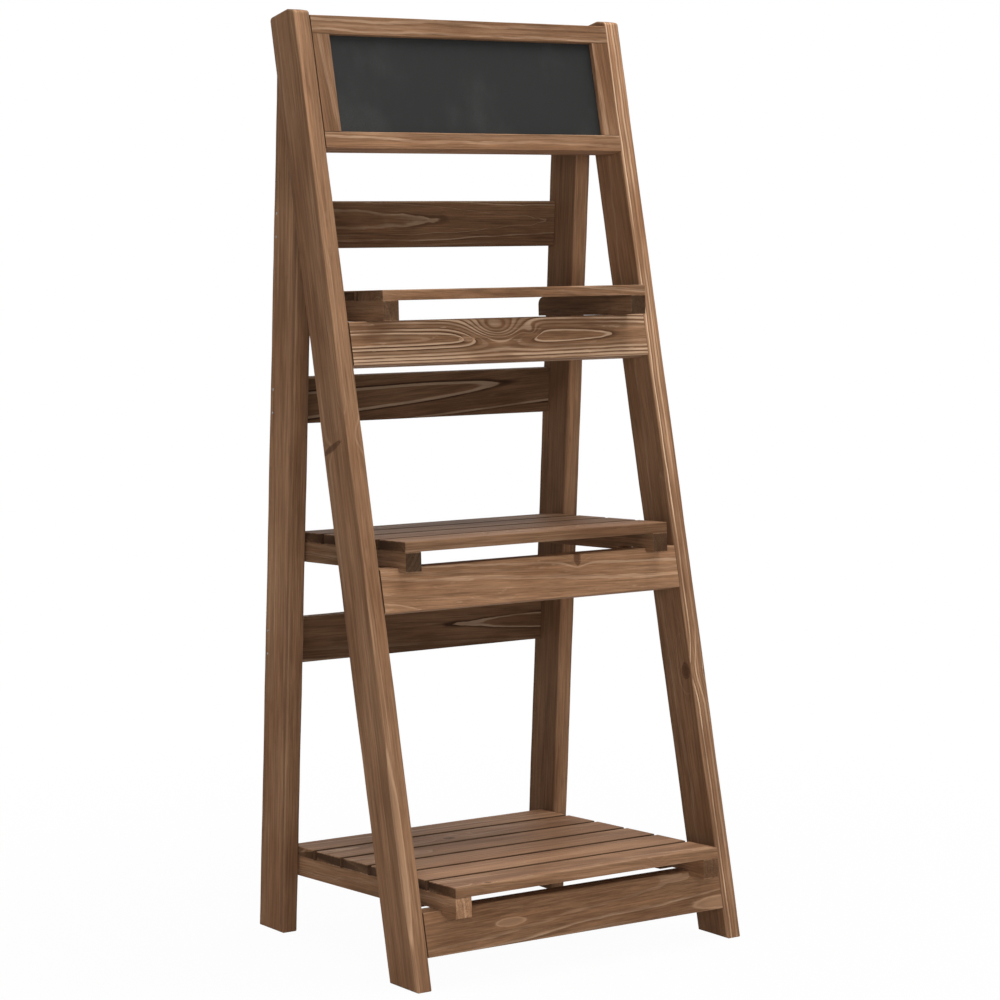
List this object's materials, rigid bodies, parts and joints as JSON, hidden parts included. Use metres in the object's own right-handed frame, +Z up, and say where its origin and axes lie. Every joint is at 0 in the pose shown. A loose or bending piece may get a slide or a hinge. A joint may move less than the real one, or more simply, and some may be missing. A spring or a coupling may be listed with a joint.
{
  "type": "folding plant stand",
  "caption": "Folding wooden A-frame plant stand: leaning front frame with a small chalkboard, nested rear frame, and slatted shelves that deepen towards the floor and hinge up flat.",
  "frame": {"origin": "middle of the base on the floor, under the centre of the open stand's bounding box", "axes": "+X across the stand towards its right leg seen from the front, +Y from front to back, +Z up"},
  "size_m": [0.4, 0.3454, 0.949],
  "materials": {
    "timber": "stained, matte",
    "chalkboard": "matte black writing paint on a thin board",
    "steel": "zinc plated"
  },
  "bodies": {
    "bottom_shelf": {"bottom_batten_left": "timber", "bottom_batten_right": "timber", "bottom_slat_1": "timber", "bottom_slat_2": "timber", "bottom_slat_3": "timber", "bottom_slat_4": "timber", "bottom_slat_5": "timber", "bottom_slat_6": "timber", "bottom_slat_nails": "steel"},
    "rear_frame": {"bottom_shelf_pivot_screws": "steel", "middle_shelf_pivot_screws": "steel", "rear_leg_left": "timber", "rear_leg_right": "timber", "rear_rail_lower": "timber", "rear_rail_middle": "timber", "rear_rail_nails": "steel", "rear_rail_upper": "timber", "top_shelf_pivot_screws": "steel"},
    "front_frame": {"chalkboard_bottom_rail": "timber", "chalkboard_panel": "chalkboard", "chalkboard_stile_left": "timber", "chalkboard_stile_right": "timber", "chalkboard_top_rail": "timber", "frame_pivot_bolts": "steel", "frame_pivot_washers": "steel", "front_leg_left": "timber", "front_leg_right": "timber", "front_rail_lower": "timber", "front_rail_middle": "timber", "front_rail_upper": "timber"},
    "middle_shelf": {"middle_batten_left": "timber", "middle_batten_right": "timber", "middle_slat_1": "timber", "middle_slat_2": "timber", "middle_slat_3": "timber", "middle_slat_4": "timber", "middle_slat_nails": "steel"},
    "top_shelf": {"top_batten_left": "timber", "top_batten_right": "timber", "top_slat_1": "timber", "top_slat_2": "timber", "top_slat_3": "timber", "top_slat_nails": "steel"}
  },
  "joints": [
    {"name": "frame_fold", "type": "hinge", "parent": "front_frame", "child": "rear_frame", "pos_m": [0, 0.07984, 0.90388], "axis": [-1, 0, 0], "range_deg": [0, 16.2]},
    {"name": "top_shelf_lift", "type": "hinge", "parent": "rear_frame", "child": "top_shelf", "pos_m": [0, 0.09809, 0.64651], "axis": [-1, 0, 0], "range_deg": [0, 84.5]},
    {"name": "middle_shelf_lift", "type": "hinge", "parent": "rear_frame", "child": "middle_shelf", "pos_m": [0, 0.11317, 0.39998], "axis": [-1, 0, 0], "range_deg": [0, 84.5]},
    {"name": "bottom_shelf_lift", "type": "hinge", "parent": "rear_frame", "child": "bottom_shelf", "pos_m": [0, 0.13343, 0.06873], "axis": [-1, 0, 0], "range_deg": [0, 84.5]}
  ]
}
